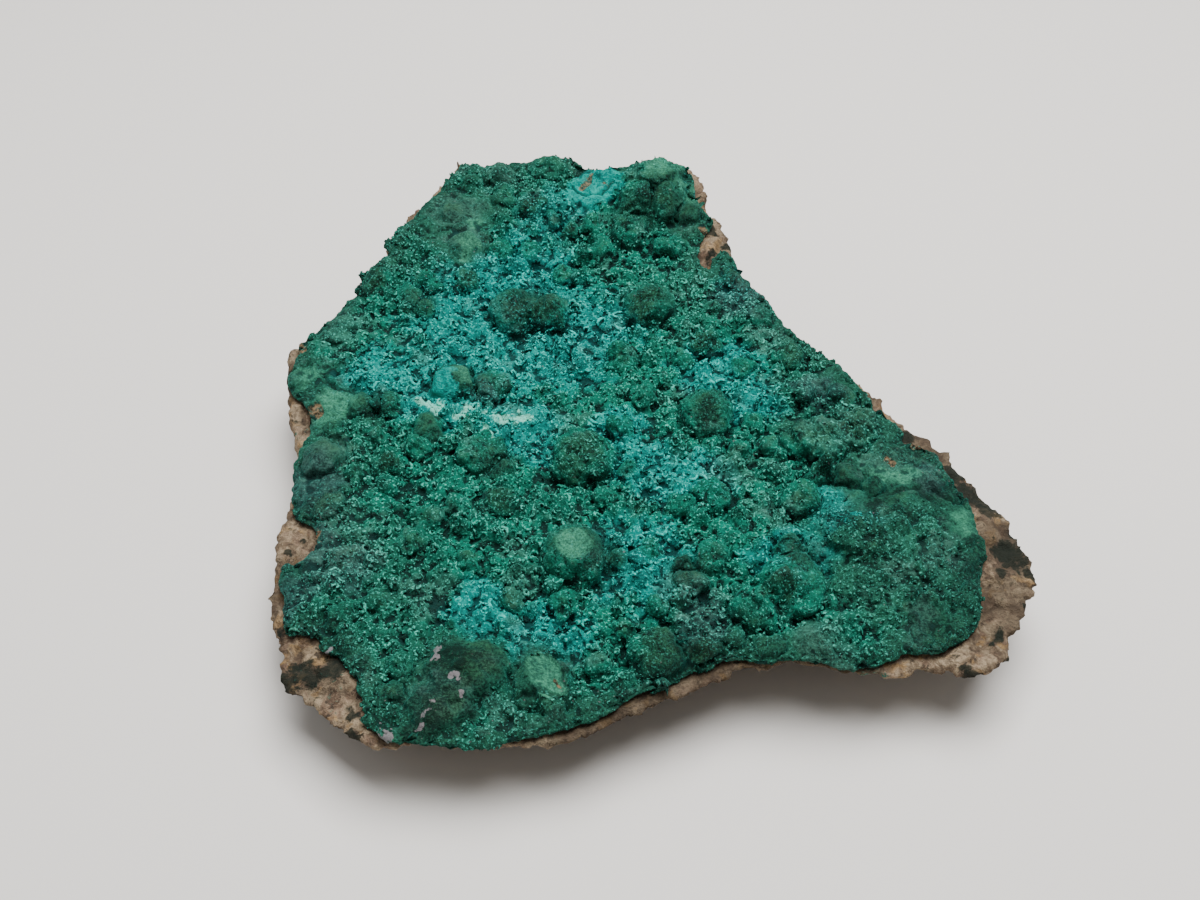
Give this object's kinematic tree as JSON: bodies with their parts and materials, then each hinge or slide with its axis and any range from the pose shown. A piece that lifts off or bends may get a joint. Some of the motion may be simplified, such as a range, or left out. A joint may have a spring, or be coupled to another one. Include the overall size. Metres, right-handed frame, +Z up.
{
  "type": "malachite specimen",
  "caption": "Broken plate of brown rock whose upper face carries a lumpy, granular green malachite crust; it rests on a flat parting on its underside.",
  "frame": {"origin": "on the surface it rests on, under the middle of its bounding box", "axes": "+Z up, out of the crusted face; +Y to the back, along the long side, towards the narrow thick end; +X to the right"},
  "size_m": [0.1808, 0.1987, 0.0404],
  "materials": {
    "rock": "rough broken tan and brown rock with dark specks",
    "malachite": "granular, velvety deep green crust with turquoise zones"
  },
  "bodies": {
    "root": {"rock_matrix": "rock", "malachite_crust": "malachite"}
  },
  "joints": []
}
